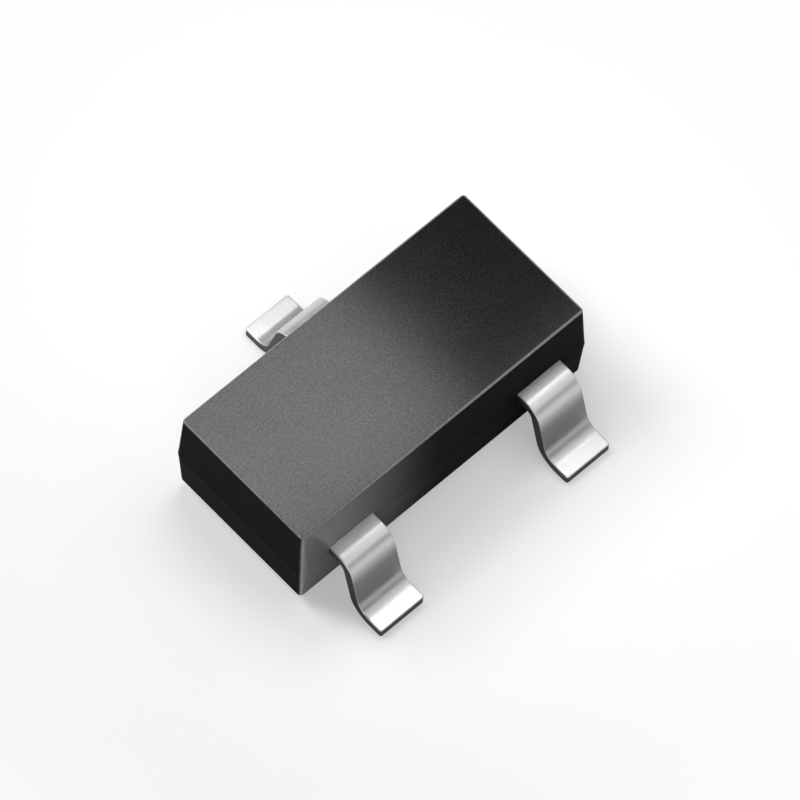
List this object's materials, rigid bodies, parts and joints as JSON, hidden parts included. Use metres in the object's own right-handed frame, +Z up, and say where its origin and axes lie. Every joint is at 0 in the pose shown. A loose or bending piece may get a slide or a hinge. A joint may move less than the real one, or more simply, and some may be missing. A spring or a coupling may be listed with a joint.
{
  "type": "zener diode",
  "caption": "Surface-mount zener diode: a drafted black moulded block with flat formed leads on both long sides, bent down to solder feet.",
  "frame": {"origin": "centre of the part's footprint, in the plane of the solder feet", "axes": "+X along the moulded body, +Y across it towards the side with the single lead, +Z up from the circuit board"},
  "size_m": [0.003, 0.0026, 0.0011],
  "materials": {
    "mould_compound": "black filled epoxy, fine satin with a soft sheen",
    "tinned_lead": "matte tin plating over copper alloy",
    "silver_epoxy": "silver-filled conductive adhesive",
    "silicon": "sawn silicon with a polished, oxide-covered top",
    "pad_metal": "evaporated aluminium",
    "gold_wire": "drawn gold wire"
  },
  "bodies": {
    "root": {"mold_body": "mould_compound", "lead_anode": "tinned_lead", "lead_unconnected": "tinned_lead", "lead_cathode": "tinned_lead", "die_attach": "silver_epoxy", "zener_die": "silicon", "anode_pad": "pad_metal", "bond_wire": "gold_wire"}
  },
  "joints": []
}
